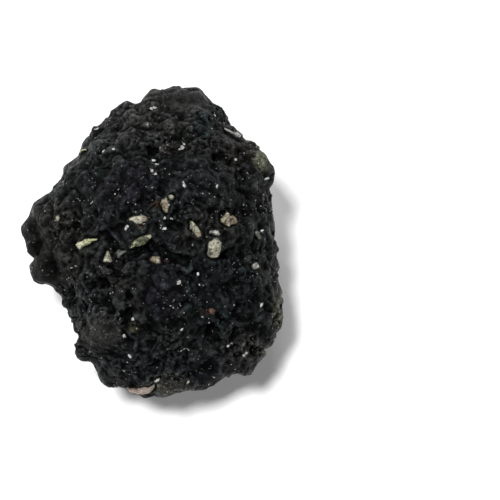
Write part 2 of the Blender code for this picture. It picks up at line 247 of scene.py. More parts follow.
# The minerals: two body colours, the stain in their cracks and at their rims, and roughness
MINERALS = {
    "cream": ((0.44, 0.425, 0.325), (0.25, 0.24, 0.175), (0.035, 0.033, 0.02), 0.45),
    "yellow": ((0.54, 0.55, 0.32), (0.27, 0.27, 0.14), (0.022, 0.025, 0.012), 0.45),
    "tan": ((0.32, 0.28, 0.195), (0.15, 0.125, 0.08), (0.022, 0.017, 0.011), 0.5),
    "grey": ((0.19, 0.2, 0.185), (0.1, 0.11, 0.1), (0.02, 0.022, 0.02), 0.35),
    "white": ((0.52, 0.53, 0.51), (0.33, 0.34, 0.325), (0.06, 0.06, 0.05), 0.35),
    "glint": ((0.62, 0.62, 0.6), (0.4, 0.4, 0.385), (0.18, 0.18, 0.16), 0.35),
    "olive": ((0.2, 0.205, 0.155), (0.1, 0.105, 0.078), (0.018, 0.02, 0.014), 0.4),
    "rust": ((0.14, 0.078, 0.044), (0.052, 0.028, 0.017), (0.012, 0.009, 0.007), 0.6),
    "crust": ((0.5, 0.42, 0.36), (0.31, 0.25, 0.21), (0.1, 0.07, 0.05), 0.6),
}
WARM_END = (0.23, 0.17, 0.12)
PALE_SIDE = (0.55, 0.53, 0.43)

# The basalt's cells: little faces that each catch the light their own way, and pale bits that are partly
# painted glints
FACE_CELL = 0.9
BIT_AND_GLINT_CELL = 0.7
BIT_AND_GLINT_COLOUR = (0.3, 0.3, 0.29)

# How much wider than its radius a mark's soft edge is drawn
MARK_SPREAD = 1.2

# Marks on single grains: across, up and radius of their dark spots, warm ends and pale sides
GRAIN_MARKS = {
    "grain_west_long": {"pale": ((-29.2, -1.8, 1.4),)},
    "grain_west_block": {"pale": ((-18.4, -8.2, 1.3),)},
    "grain_west_grey": {"dark": ((-13.5, -4.2, 0.5),)},
    "grain_middle_long": {"warm": ((-2.9, 8.9, 1.6),), "pale": ((-8.4, 8.8, 0.7),)},
    "grain_middle_mottled": {
        "dark": ((-4.8, 0.6, 1.9), (-3, 0.6, 1.3), (-2, 0.8, 0.5), (-6.6, -1.6, 0.8), (-8.4, -1.4, 0.4)),
        "pale": ((-1.2, 2.1, 0.9), (-3.2, 2, 0.5), (-5.6, -0.8, 0.4)),
    },
    "grain_middle_block": {"warm": ((-0.3, -7.4, 1.1),), "pale": ((2.2, -8.2, 0.9),)},
    "grain_middle_wedge": {
        "dark": ((3.3, 14.6, 0.9),),
        "warm": ((4.4, 14.2, 1.3),),
        "pale": ((6.2, 14, 0.9), (5.6, 16.4, 0.8), (5.2, 12, 0.7)),
    },
    "grain_east_slant": {"warm": ((18.6, 2.4, 1.5),), "dark": ((15.2, 5.2, 0.7), (15, 6.9, 0.4))},
    "grain_east_sliver": {"dark": ((24.4, 2.6, 0.4),), "pale": ((25.6, 3.4, 0.8),)},
    "grain_east_block": {"dark": ((22.6, -3.4, 0.6), (22.9, -5, 1)), "pale": ((25.6, -1, 1.2),)},
    "grain_east_chunk": {
        "warm": ((32.4, 7.8, 1.8),),
        "dark": ((31.2, 8.6, 0.8), (29.2, 8, 0.5)),
        "pale": ((29.9, 11, 0.8), (30.4, 6.4, 0.7)),
    },
    "grain_east_dot": {
        "dark": ((41.2, -9.4, 0.45), (41, -10.4, 0.4)),
        "pale": ((40.1, -9.9, 0.8), (42, -10.2, 0.7)),
    },
    "grain_east_green": {"pale": ((40.6, 3.6, 0.6),)},
    "grain_notch_streak": {"dark": ((30.2, 44, 0.4), (32.2, 42.6, 0.5))},
    "crust_flake": {"pale": ((-0.2, -57.4, 1.6),)},
}

# Pale grains of the showing face: mineral, then the outline's corners (across, up)
FACE_GRAINS = {
    "grain_west_long": ("yellow", (
        (-31, -1.6), (-30.2, -0.5), (-28.4, -0.2), (-27.2, 0.7), (-25.3, 1), (-22.2, 0.9),
        (-22.1, 0.2), (-24.2, -0.3), (-25.2, -1.4), (-27.6, -2.2), (-29.1, -3.8), (-30.1, -2.8))),
    "grain_west_block": ("cream", (
        (-18.4, -3.9), (-17.7, -3.9), (-16.9, -6.2), (-16.1, -8), (-16.4, -8.7), (-19.7, -8.6),
        (-20.1, -8.1), (-19.4, -6))),
    "grain_west_grey": ("grey", (
        (-14.7, -4.6), (-13.7, -3.3), (-12.6, -3.7), (-11.2, -3.6), (-10.5, -4.4), (-11.9, -5.6),
        (-13.2, -7), (-14, -6.6), (-14.1, -5.4))),
    "grain_west_dot": ("cream", (
        (-39, 9.2), (-38.4, 10.3), (-37.3, 10.2), (-37, 9), (-37.4, 7.9), (-38.5, 7.7))),
    "grain_middle_long": ("cream", (
        (-9.8, 8.8), (-9, 9.3), (-7.3, 9.9), (-5.5, 10.1), (-3.6, 10.3), (-2.4, 9.6),
        (-1.8, 8.6), (-2.4, 7.9), (-3.8, 7.4), (-4.3, 6.8), (-6.8, 6.6), (-8, 7.7), (-9.4, 8))),
    "grain_middle_mottled": ("yellow", (
        (-9, -3), (-8.9, -1.6), (-7.3, 0.4), (-5, 1.9), (-3, 2.3), (-0.7, 2.8),
        (-0.2, 1.8), (-1.4, 0.7), (-2.8, -0.9), (-5, -1.9), (-7, -2.2))),
    "grain_middle_block": ("tan", (
        (-0.8, -6.6), (0, -6.1), (2.6, -6.4), (3.1, -7.2), (3.1, -9.3), (1.8, -9.3),
        (0.2, -8.7), (-1.1, -8), (-1.2, -7.4))),
    "grain_middle_wedge": ("tan", (
        (3.6, 16.6), (5, 17.4), (5.8, 17.1), (6.3, 15.6), (7, 14.4), (6.4, 13.6), (6.1, 11.3),
        (5, 11.1), (4.2, 11.9), (3.5, 13.6), (2.7, 14.7), (2.8, 15.5))),
    "grain_middle_dot": ("cream", (
        (6, 18.4), (7.6, 18.6), (8.7, 17.7), (8.4, 16.8), (7.2, 16.2), (6.3, 17))),
    "grain_east_slant": ("cream", (
        (14.7, 8.1), (15.6, 8.2), (17.4, 6.4), (18.5, 4.7), (19.3, 3.4), (19.5, 1.9), (18.6, 1.1),
        (17.6, 1.4), (16.6, 2.7), (15.4, 4.2), (14.5, 4.7), (14.7, 5.6))),
    "grain_east_sliver": ("white", (
        (22.5, 4), (24.9, 4.4), (26.2, 4.1), (26.9, 2.9), (26.5, 2.1), (24.3, 2.2), (23.9, 2.8),
        (22.5, 3))),
    "grain_east_block": ("cream", (
        (21.9, -0.9), (22.4, -0.1), (23.6, 0.4), (24.6, 1.2), (25.6, 1.5), (26.8, 0.2),
        (27.5, -0.8), (27.3, -3), (27, -4.6), (26, -6.5), (24.5, -6.8), (23.2, -6.9),
        (21.8, -6.1), (21.5, -5), (21.9, -3))),
    "grain_east_chunk": ("tan", (
        (26.9, 8.9), (27.8, 9.6), (28.6, 10.6), (29.3, 11.5), (30.3, 11.3), (31, 9.9),
        (32.2, 10.2), (33.3, 9.2), (33.9, 7.7), (33.4, 6.7), (31.4, 6.3), (30.6, 5.4), (29.3, 5.9),
        (28.2, 6.7), (27.1, 7.4))),
    "grain_east_green": ("olive", (
        (39.5, 2.9), (40.4, 3.9), (41.6, 4.3), (42.3, 3.4), (42.6, 2.3), (43.4, 1.6), (43.2, 0.6),
        (41.9, 0.4), (41.2, 1.7), (40.2, 2.2))),
    "grain_east_dot": ("white", (
        (39.5, -9.7), (40.2, -8.8), (41.4, -8.6), (42.3, -9.6), (42.7, -10.6), (41.6, -11.2),
        (40.4, -11.5), (39.6, -10.6))),
    "grain_rusty": ("rust", (
        (22.5, -26.9), (24, -26.6), (25, -27.6), (24.7, -29.3), (23.8, -29.9), (22.5, -29),
        (22.1, -28))),
    "grain_rim_rod": ("yellow", (
        (-29.6, 35.4), (-28.6, 36.5), (-26.8, 37), (-26.5, 36.3), (-27.8, 35.9), (-29.2, 34.9))),
    "grain_notch_streak": ("white", (
        (28.4, 45.5), (30.2, 44.4), (32, 43.4), (34.2, 43.4), (35.5, 42.2), (35, 41.1),
        (33.4, 41.5), (31.6, 42.7), (30, 43.7), (28.4, 44.8))),
    "crust_flake": ("crust", (
        (-11, -58.6), (-9, -59.3), (-6, -59), (-4, -58.4), (-1.6, -57.8), (-0.6, -57.9),
        (0.4, -56.8), (1, -56.9), (0.8, -58.4), (-0.3, -59.8), (-1.4, -60.9), (-4.5, -61.5),
        (-7.5, -61.2), (-9.6, -60.4))),
    "crust_tip": ("white", (
        (0.2, -56), (1.5, -55.2), (2.7, -54.6), (3, -55.6), (1.8, -56.5), (0.9, -56.7))),
}

# Grains of the sides and back: their minerals, in turn
FAR_MINERALS = ("cream", "tan", "yellow", "white", "cream")

# White specks that stand out on the showing face: across, up, long size, short size, turn in degrees
FACE_SPECKS = (
    (0.1, 53.2, 2.4, 1.9, 0), (-2, 46.5, 1.2, 1, 0), (24.8, 50.2, 1.9, 0.7, -50),
    (11.8, 37.6, 2.4, 1.9, 30), (12.8, 38.4, 1.4, 1.1, 0), (10.8, 36.7, 1.3, 1, 0),
    (0.1, 32.4, 1.9, 1.6, 0), (1.4, 30.5, 2.3, 1.1, 10), (-0.4, 28, 2.3, 1.6, -20),
    (0.9, 26.6, 1.6, 1.2, 0), (12, 22.8, 3.1, 1.4, -55), (25.6, 21.7, 2.6, 1, 85),
    (45, 24.6, 2.9, 1.3, 20), (33, 32.6, 1.6, 1.2, 0), (-10.4, 5.2, 2.6, 2, 80), (4.7, 5, 2.3, 1.4, 10),
    (4.6, 9.2, 1.4, 1.2, 0), (7.3, 8.8, 1.1, 1, 0), (-11.8, -38.2, 1.6, 1.3, 0),
    (-9.2, -46, 2.6, 1.4, -40), (37, -45.3, 2.3, 1.7, 20), (43, -26.2, 2.4, 1.2, 45),
    (30, -41.8, 1.6, 1.2, 0), (31.2, -41, 1.1, 0.8, 0), (14, -56.3, 2, 1, 60),
    (10.3, -16.6, 2.3, 1.3, 25), (11.4, -35.5, 2, 1.1, 50), (-7.8, -31.2, 1.7, 1.4, 0),
    (17.8, -13.2, 1.9, 1.4, 80), (43.4, 3.9, 1.6, 1, 0), (-22.5, 44.8, 2.6, 0.6, 5),
    (-19.6, 35.9, 2, 0.7, 40), (-15.5, 36.7, 1.8, 1.1, -15), (-32.6, -10.6, 1.2, 1, 0),
    (-30.7, -10, 1.1, 0.9, 0), (11.4, -43.8, 1.5, 0.4, 37), (12.6, -43.1, 1.4, 0.4, 22),
    (13.7, -43.1, 1.4, 0.4, -24), (14.4, -43.8, 1.2, 0.4, -62),
)

# What those specks are: lift in short sides, number of lumps, and the lumps' shift and size in speck sizes
SPECK_RAISE = 0.3
SPECK_LUMPS = 3
LUMP_SHIFT = 0.13
LUMP_SHARE = 0.78

# Strewn specks: number of groups, most specks in one, its spread, long side, and short side in long sides
SPECK_GROUPS = 340
SPECK_CROWD = 4
SPECK_SPREAD = 1.6
SPECK_LONG = (0.35, 1.0)
SPECK_SHORT = (0.55, 0.95)

# The distance in metres that strewn specks start from, a speck's corners, and its thickness in short sides
SPECK_START = 0.2
SPECK_CORNERS = 9
SPECK_THICKNESS = 0.8

# Lamps: the way to each in parts across, up and out, its distance and size in metres, and its power
LAMPS = {
    "key": ((-0.24, 0.30, 1.0), 2.0, 0.4, 42),
    "back": ((-0.1, 1.0, 0.5), 1.5, 0.8, 8),
}
WORLD_STRENGTH = 0.06

# The floor's side in metres, and its finish
FLOOR_SIZE = 4
FLOOR_LOOK = {
    "Base Color": (0.9, 0.9, 0.9),
    "Roughness": 0.9,
    "Specular IOR Level": 0.1,
    "Emission Color": (1, 1, 1),
    "Emission Strength": 0.18,
}


def hashed(cells, seed):
    """Three steady numbers from 0 to 1, as good as random, for each whole-number cell."""
    whole = np.asarray(cells).astype(np.int64).astype(np.uint64)
    mixed = whole @ np.array([73856093, 19349669, 83492791], np.uint64) + np.uint64(7919 * seed + 17)
    numbers = []
    for _ in range(3):
        mixed = (mixed ^ (mixed >> np.uint64(30))) * np.uint64(0xBF58476D1CE4E5B9)
        mixed = (mixed ^ (mixed >> np.uint64(27))) * np.uint64(0x94D049BB133111EB)
        mixed ^= mixed >> np.uint64(31)
        numbers.append((mixed >> np.uint64(11)) / float(1 << 53))
    return np.stack(numbers, axis=1)


def smooth_noise(places, size, seed):
    """Gradient noise of about -0.6 to 0.6, whose swells are one size across."""
    scaled = places / size
    base = np.floor(scaled)
    part = scaled - base
    ease = part**3 * (part * (part * 6 - 15) + 10)
    total = np.zeros(len(places))
    for corner in itertools.product((0, 1), repeat=3):
        weight = np.prod(np.where(corner, ease, 1 - ease), axis=1)
        slope = 2 * hashed(base + corner, seed) - 1
        total += weight * np.sum(slope * (part - corner), axis=1)
    return total


def bend(points, kind):
    """Three noises that bend a pattern out of line at each point, given in millimetres."""
    size, shift, seed = BENDS[kind]
    return np.stack([smooth_noise(points + shift, size, seed + axis) for axis in range(3)], axis=1)


def nearest_knob(places, size, seed):
    """Distance in sizes to the nearest of points strewn one size apart, and that point's luck, 0 to 1."""
    scaled = places / size
    base = np.floor(scaled)
    nearest = np.full(len(places), 9.0)
    luck = np.zeros(len(places))
    for step in itertools.product((-1, 0, 1), repeat=3):
        cell = base + step
        numbers = hashed(cell, seed)
        gap = np.linalg.norm(cell + numbers - scaled, axis=1)
        luck = np.where(gap < nearest, numbers.sum(axis=1) * 57 % 1, luck)
        nearest = np.minimum(nearest, gap)
    return nearest, luck


def facet_height(places, size, tilt, seed):
    """Height in millimetres of facets about one size across, that tilt each its own way and meet softly."""
    scaled = places / size
    base = np.floor(scaled)
    weights = np.zeros(len(places))
    height = np.zeros(len(places))
    for step in itertools.product((-1, 0, 1), repeat=3):
        away = scaled - base - step - hashed(base + step, seed)
        weight = np.exp(-FACET_SHARPNESS * np.sum(away**2, axis=1))
        height += weight * np.sum(away * (hashed(base + step, seed + 1) - 0.5), axis=1)
        weights += weight
    return size * tilt * height / weights


def eased(value, low, high):
    """0 below low, 1 above high, and smooth between."""
    part = np.clip((value - low) / (high - low), 0, 1)
    return part * part * (3 - 2 * part)


def face_point(across, up):
    """The point at (across, up), in millimetres, on the plane through the stone's middle."""
    return CENTRE + MM * (across * ACROSS + up * UP)


def seen_at(places):
    """Where on the face, across and up in millimetres, each place is seen."""
    from_eye = places - np.array(EYE)
    on_plane = from_eye * (EYE_DISTANCE / -(from_eye @ np.array(OUT)))[:, None] + np.array(EYE - CENTRE)
    return np.stack([on_plane @ np.array(ACROSS), on_plane @ np.array(UP)], axis=1) / MM


def on_face(surface, across, up):
    """Place and normal where the line of sight through (across, up) meets the surface."""
    aim = face_point(across, up) - EYE
    place, normal, _, _ = surface.ray_cast(EYE, aim.normalized())
    return place, normal


def across_on(normal):
    """The way along a plane with this normal that runs across the face."""
    return (ACROSS - ACROSS.dot(normal) * normal).normalized()


def add_object(name, data):
    """A new object of the scene with this mesh, lamp or camera."""
    made = bpy.data.objects.new(name, data)
    bpy.context.scene.collection.objects.link(made)
    return made


def add_shape(name, shape):
    """A new object made from the bmesh, which is freed."""
    mesh = bpy.data.meshes.new(name)
    shape.to_mesh(mesh)
    shape.free()
    return add_object(name, mesh)


def apply_modifiers(made):
    """Puts the evaluated mesh in place of the object's own, and drops its modifiers."""
    bpy.context.view_layer.update()
    graph = bpy.context.evaluated_depsgraph_get()
    mesh = bpy.data.meshes.new_from_object(made.evaluated_get(graph))
    made.modifiers.clear()
    made.data = mesh


def fuse_and_soften(made, voxel, times):
    """Remeshes the object into cells of this size, then softens it this many times."""
    fuse = made.modifiers.new("fuse", "REMESH")
    fuse.mode = "VOXEL"
    fuse.voxel_size = voxel
    soften = made.modifiers.new("soften", "SMOOTH")
    soften.iterations = times
    apply_modifiers(made)


def surface_of(made):
    """The object's surface, to find the nearest place or the place that a ray meets."""
    bpy.context.view_layer.update()
    return BVHTree.FromObject(made, bpy.context.evaluated_depsgraph_get())


def places_of(mesh):
    """The places of the mesh's points, one in a row."""
    places = np.empty(len(mesh.vertices) * 3)
    mesh.vertices.foreach_get("co", places)
    return places.reshape(-1, 3)


def normals_of(mesh):
    """The normals at the mesh's points, one in a row."""
    normals = np.empty(len(mesh.vertices) * 3)
    mesh.vertex_normals.foreach_get("vector", normals)
    return normals.reshape(-1, 3)


def write_places(mesh, places):
    """Moves the mesh's points to these places."""
    mesh.vertices.foreach_set("co", places.ravel())
    mesh.update()


def write_values(mesh, name, values):
    """Keeps one number for each point of the mesh, under a name that a material reads."""
    mesh.attributes.new(name, "FLOAT", "POINT").data.foreach_set("value", values)


def without_sockets(stone, grains):
    """A copy of the stone with the grains' sockets closed over."""
    shape = bmesh.new()
    shape.from_mesh(stone.data)
    bmesh.ops.remove_doubles(shape, verts=shape.verts, dist=WELD)
    for grain in grains:
        surface = surface_of(grain)
        low, high = (Vector(corner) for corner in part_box(grain.name))
        reach = Vector((SOCKET_REACH,) * 3)
        low, high = low - reach, high + reach
        for vertex in shape.verts:
            if all(a <= b <= c for a, b, c in zip(low, vertex.co, high)):
                vertex.tag = vertex.tag or surface.find_nearest(vertex.co, SOCKET_REACH)[0] is not None
    lost = [vertex for vertex in shape.verts if vertex.tag]
    bmesh.ops.delete(shape, geom=lost, context="VERTS")
    bmesh.ops.holes_fill(shape, edges=shape.edges, sides=0)
    bmesh.ops.triangulate(shape, faces=shape.faces)
    bmesh.ops.recalc_face_normals(shape, faces=shape.faces)
    return add_shape("lava_rock_skin", shape)


def softened(mesh, values, times):
    """The values averaged over each point's neighbours, this many times."""
    edges = np.empty(len(mesh.edges) * 2, np.int64)
    mesh.edges.foreach_get("vertices", edges)
    first, second = edges.reshape(-1, 2).T
    count = len(mesh.vertices)
    around = np.bincount(first, minlength=count) + np.bincount(second, minlength=count) + 1
    for _ in range(times):
        columns = [
            np.bincount(first, column[second], count) + np.bincount(second, column[first], count) + column
            for column in values.T
        ]
        values = np.stack(columns, axis=1) / around[:, None]
    return values


def knob_height(places, size, height, pit_share, pit_depth, seed):
    """Height of one layer of knobs and pits, in millimetres."""
    nearest, luck = nearest_knob(places, size, seed)
    dome = np.sqrt(np.clip(1 - (nearest / KNOB_RADIUS) ** 2, 0, None))
    knob = dome * (LOWEST_KNOB + (1 - LOWEST_KNOB) * luck) - KNOB_BASE
    bowl = -np.sqrt(np.clip(1 - (nearest / PIT_RADIUS) ** 2, 0, None))
    return np.where(luck < pit_share, pit_depth * bowl, height * knob)


def patch(seen, across, up, half_width, half_height):
    """1 in the middle of an oval of the face, 0 outside it, and soft between."""
    away = np.hypot((seen[:, 0] - across) / half_width, (seen[:, 1] - up) / half_height)
    return 1 - eased(away, *PATCH_EDGE)


def face_relief(seen, facing):
    """Height of the hollows and ropes of the showing face, in millimetres."""
    height = np.zeros(len(seen))
    for across, up, radius, depth in HOLLOWS:
        away = np.hypot(seen[:, 0] - across, seen[:, 1] - up) / radius
        height -= depth * np.exp(-(away**2))
    across, up, inner, outer, spacing, most = ROPES
    away = np.hypot(seen[:, 0] - across, seen[:, 1] - up)
    band = eased(away, *inner) * (1 - eased(away, *outer))
    below = eased(up - seen[:, 1], *ROPES_BELOW)
    height += most * band * below * np.sin(2 * math.pi * away / spacing)
    return height * facing


def skin_height(places, normals):
    """Height of the skin's relief over the softened stone, in millimetres, and its share of roughness."""
    points = places / MM
    broad = bend(points, "broad")
    bent = points + FOLD_BEND * broad
    far, near = RELIEF_BENDS
    seen = seen_at(places + MM * (far * broad + near * bend(points, "jagged")))
    outwards = normals @ np.array(OUT)
    facing = eased(outwards, 0.0, 0.35)
    showing = eased(outwards, -0.5, 0.0)
    edge_wear = 1 - RIM_WEAR * (1 - eased(np.abs(outwards), 0.05, 0.45))
    rough = eased(smooth_noise(points, ROUGH_SIZE, 3), *ROUGH_NOISE)
    for smooth_part in SMOOTH_PARTS:
        rough = rough * (1 - SMOOTH_SHARE * patch(seen, *smooth_part) * showing)
    rough = LEAST_ROUGH + (1 - LEAST_ROUGH) * rough
    height = np.zeros(len(points))
    for seed, (size, most, least) in enumerate(FOLD_LAYERS.values()):
        fold = (np.abs(smooth_noise(bent, size, 20 + seed)) + CREASE_SOFTNESS) ** FOLD_POWER - FOLD_LEVEL
        height += (least + (most - least) * rough) * fold * (1 if size > BROAD_FOLD else edge_wear)
    for seed, layer in enumerate(KNOB_LAYERS.values()):
        height += rough * edge_wear * knob_height(bent, *layer, 30 + seed)
    for seed, layer in enumerate(FACET_LAYERS.values()):
        height += edge_wear * facet_height(bent, *layer, 40 + 2 * seed)
    for even_part in EVEN_PARTS:
        height *= 1 - EVEN_SHARE * patch(seen, *even_part) * showing
    return height + face_relief(seen, facing), rough


def skin_tint(places, normals):
    """The stone's colour at each place, before its fine mottling."""
    points = places / MM
    broad = smooth_noise(points, 24, 9)
    channels = [np.interp(broad, (-0.3, -0.1, 0.1, 0.3), channel) for channel in zip(*GROUND_TINTS)]
    tint = np.stack(channels, axis=1)
    seen = seen_at(places + TINT_BEND * MM * bend(points, "tint"))
    facing = eased(normals @ np.array(OUT), 0.0, 0.2)
    for across, up, half_width, half_height, colour in FACE_TINTS:
        share = (patch(seen, across, up, half_width, half_height) * facing)[:, None]
        tint = tint * (1 - share) + np.array(colour) * share
    return np.hstack([tint, np.ones((len(places), 1))])


def pushed_rim(places):
    """The places with the rim's stretches moved in or out, as seen on the face."""
    seen = seen_at(places)
    for across, up, radius, push in RIM_PUSHES:
        share = np.exp(-(((seen[:, 0] - across) ** 2 + (seen[:, 1] - up) ** 2) / radius**2))
        way = Vector((across, up)).normalized()
        places = places + (push * MM * share)[:, None] * np.array(way.x * ACROSS + way.y * UP)
    return places


def write_looks(mesh, places, rough):
    """Keeps what the basalt's material reads: how far each point stands out, its roughness and its tint."""
    fine = softened(mesh, places, 3)
    broad = softened(mesh, fine, 16)
    normals = normals_of(mesh)
    write_values(mesh, "relief", np.sum((fine - broad) * normals, axis=1) / MM)
    write_values(mesh, "crumb", np.sum((places - fine) * normals, axis=1) / MM)
    write_values(mesh, "rough", rough)
    tint = skin_tint(places, normals)
    mesh.attributes.new("tint", "FLOAT_COLOR", "POINT").data.foreach_set("color", tint.ravel())


def make_skin(stone, grains):
    """The stone with its fine relief, and the seats of its grains."""
    skin = without_sockets(stone, grains)
    fuse_and_soften(skin, FINE_VOXEL, SOFTEN_TIMES)
    mesh = skin.data
    surface = surface_of(skin)
    outlines = {name: outline for name, (_, outline) in FACE_GRAINS.items()}
    seats = {grain.name: Seat(grain, surface, outlines.get(grain.name)) for grain in grains}
    places = places_of(mesh)
    normals = normals_of(mesh)
    height, rough = skin_height(places, normals)
    above_foot = eased(places[:, 2] / MM, *FOOT_BLEND)
    places = pushed_rim(places + normals * (MM * height * above_foot)[:, None])
    bed_grains(places, normals, seats.values())
    places[:, 2] = np.clip(places[:, 2], 0, None)
    write_places(mesh, places)
    write_looks(mesh, places, rough)
    thin = skin.modifiers.new("thin", "DECIMATE")
    thin.ratio = SKIN_TRIANGLES / (2 * len(mesh.polygons))
    apply_modifiers(skin)
    skin.data.shade_smooth()
    return skin, seats


class Seat:
    """Where a grain sits: the plane of its rim, and its outline on that plane, in metres."""

    def __init__(self, node, surface, outline=None):
        mesh = node.data
        middle = Vector(places_of(mesh).mean(axis=0))
        place, normal, _, _ = surface.find_nearest(middle)
        if outline:
            normal = (normal + OUT).normalized()
        self.normal = normal
        self.middle = place + GRAIN_LIFT * MM * normal
        self.side = across_on(normal)
        self.rise = normal.cross(self.side)
        if outline:
            corners = [self.seen(across, up) for across, up in outline]
        else:
            flat, _ = self.measure(places_of(mesh))
            flat = np.unique(np.round(flat, 5), axis=0)
            corners = flat[convex_hull_2d([Vector(spot) for spot in flat])]
        self.outline = np.array([tuple(corner) for corner in corners])
        self.core = self.outline.mean(axis=0)
        self.short = float(3 * np.sqrt(np.linalg.eigvalsh(np.cov(self.outline.T))[0]))

    def seen(self, across, up):
        """The point of the plane that is seen at (across, up)."""
        point = intersect_line_plane(EYE, face_point(across, up), self.middle, self.normal) - self.middle
        return Vector((point.dot(self.side), point.dot(self.rise)))

    def measure(self, places):
        """Where the places lie on the plane, as two lengths from its middle, and how high over it."""
        offset = places - np.array(self.middle)
        flat = np.stack([offset @ np.array(self.side), offset @ np.array(self.rise)], axis=1)
        return flat, offset @ np.array(self.normal)

    def place(self, flat, height):
        """The point at these two lengths on the plane, raised by height."""
        on_plane = self.middle + float(flat[0]) * self.side + float(flat[1]) * self.rise
        return on_plane + float(height) * self.normal


def outside_by(points, outline):
    """How far each flat point lies outside the outline, and negative inside."""
    nearest = np.full(len(points), np.inf)
    inside = np.zeros(len(points), bool)
    for start, end in zip(outline, np.roll(outline, -1, axis=0)):
        edge = end - start
        part = np.clip((points - start) @ edge / (edge @ edge), 0, 1)
        nearest = np.minimum(nearest, np.linalg.norm(points - start - part[:, None] * edge, axis=1))
        crossed = (start[1] > points[:, 1]) != (end[1] > points[:, 1])
        inside ^= crossed & (points[:, 0] < start[0] + (points[:, 1] - start[1]) * edge[0] / (edge[1] or 1))
    return np.where(inside, -nearest, nearest)


def bed_grains(places, normals, seats):
    """Brings the skin level just under each grain's rim, and a little way round it."""
    for seat in seats:
        flat, height = seat.measure(places)
        near = np.linalg.norm(flat - seat.core, axis=1) < BED_RADIUS * MM
        near &= np.abs(height) < BED_HEIGHT * MM
        near &= normals @ np.array(seat.normal) > 0.1
        share = 1 - eased(outside_by(flat[near], seat.outline) / MM, *BED_REACH)
        move = BED_SHARE * share * (-BED_DEPTH * MM - height[near])
        places[near] += move[:, None] * np.array(seat.normal)


def share_of(length, share, least, most):
    """This share of the length, which is in metres, but no less and no more than so many millimetres."""
    return np.clip(share * length, least * MM, most * MM)


def grain_rings(seat, chance):
    """A broken crystal's rings from its root up: (size, level, tilt), sizes as shares of the outline."""
    height = share_of(seat.short, *GRAIN_TOP)
    root = share_of(seat.short, *GRAIN_ROOT)
    top_tilt = chance.uniform(*TOP_TILT)
    return (0.75, -root, 0.0), (1.0, 0.0, 0.0), (0.92, 0.55 * height, 0.2), (0.66, height, top_tilt)


def grain_solid(name, seat, chance):
    """A broken crystal that fills its seat's outline, with a slanting top and its root in the stone."""
    shape = bmesh.new()
    slant = Matrix.Rotation(chance.uniform(0, 2 * math.pi), 2) @ Vector((1, 0))
    rings = []
    for size, level, tilt in grain_rings(seat, chance):
        ring = []
        for corner in seat.outline:
            away = size * (corner - seat.core)
            luck = chance.uniform(-CORNER_LUCK, CORNER_LUCK)
            rise = level * (1 + tilt * (away @ np.array(slant) / seat.short + luck))
            ring.append(shape.verts.new(seat.place(seat.core + away, rise)))
        rings.append(ring)
    for lower, upper in zip(rings, rings[1:]):
        for k in range(len(lower)):
            shape.faces.new((lower[k - 1], lower[k], upper[k], upper[k - 1]))
    top = shape.verts.new(sum((vertex.co for vertex in rings[-1]), Vector()) / len(rings[-1]))
    top.co += TOP_PEAK * seat.short * seat.normal
    for k in range(len(rings[-1])):
        shape.faces.new((rings[-1][k - 1], rings[-1][k], top))
    shape.faces.new(reversed(rings[0]))
    bmesh.ops.triangulate(shape, faces=shape.faces)
    bmesh.ops.recalc_face_normals(shape, faces=shape.faces)
    return add_shape(f"{name}_shape", shape)


def grain_relief(points):
    """Height of a grain's broken surface, in millimetres: two noises, and steps between cells."""
    height = np.zeros(len(points))
    for seed, (size, most) in enumerate(GRAIN_NOISES):
        height += most * smooth_noise(points, size, 50 + seed)
    size, depth = GRAIN_STEPS
    nearest, luck = nearest_knob(points, size, 52)
    return height - depth * eased(nearest, 0.3, 0.7) * luck


def write_marks(mesh, name, places):
    """Keeps how far each point of a grain lies in its dark spots, warm ends and pale sides."""
    marks = GRAIN_MARKS.get(name, {})
    seen = seen_at(places + MARK_BEND * MM * bend(places / MM, "mark"))
    for kind in ("dark", "warm", "pale"):
        share = np.zeros(len(places))
        for across, up, radius in marks.get(kind, ()):
            reach = MARK_SPREAD * radius
            share = np.maximum(share, patch(seen, across, up, reach, reach))
        write_values(mesh, kind, share)


def make_grain(name, seat, mineral, chance):
    """One pale grain with its broken surface, its marks and its mineral."""
    grain = grain_solid(name, seat, chance)
    fuse_and_soften(grain, GRAIN_VOXEL, 1)
    mesh = grain.data
    places = places_of(mesh)
    height = grain_relief(places / MM)
    flat, _ = seat.measure(places)
    write_places(mesh, places + normals_of(mesh) * (MM * height)[:, None])
    write_marks(mesh, name, places)
    write_values(mesh, "rim", eased(outside_by(flat, seat.outline) / MM, -RIM_STAIN, 0.0))
    mesh.shade_smooth()
    mesh.materials.clear()
    mesh.materials.append(mineral)
    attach(grain, "root")
    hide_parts(name)


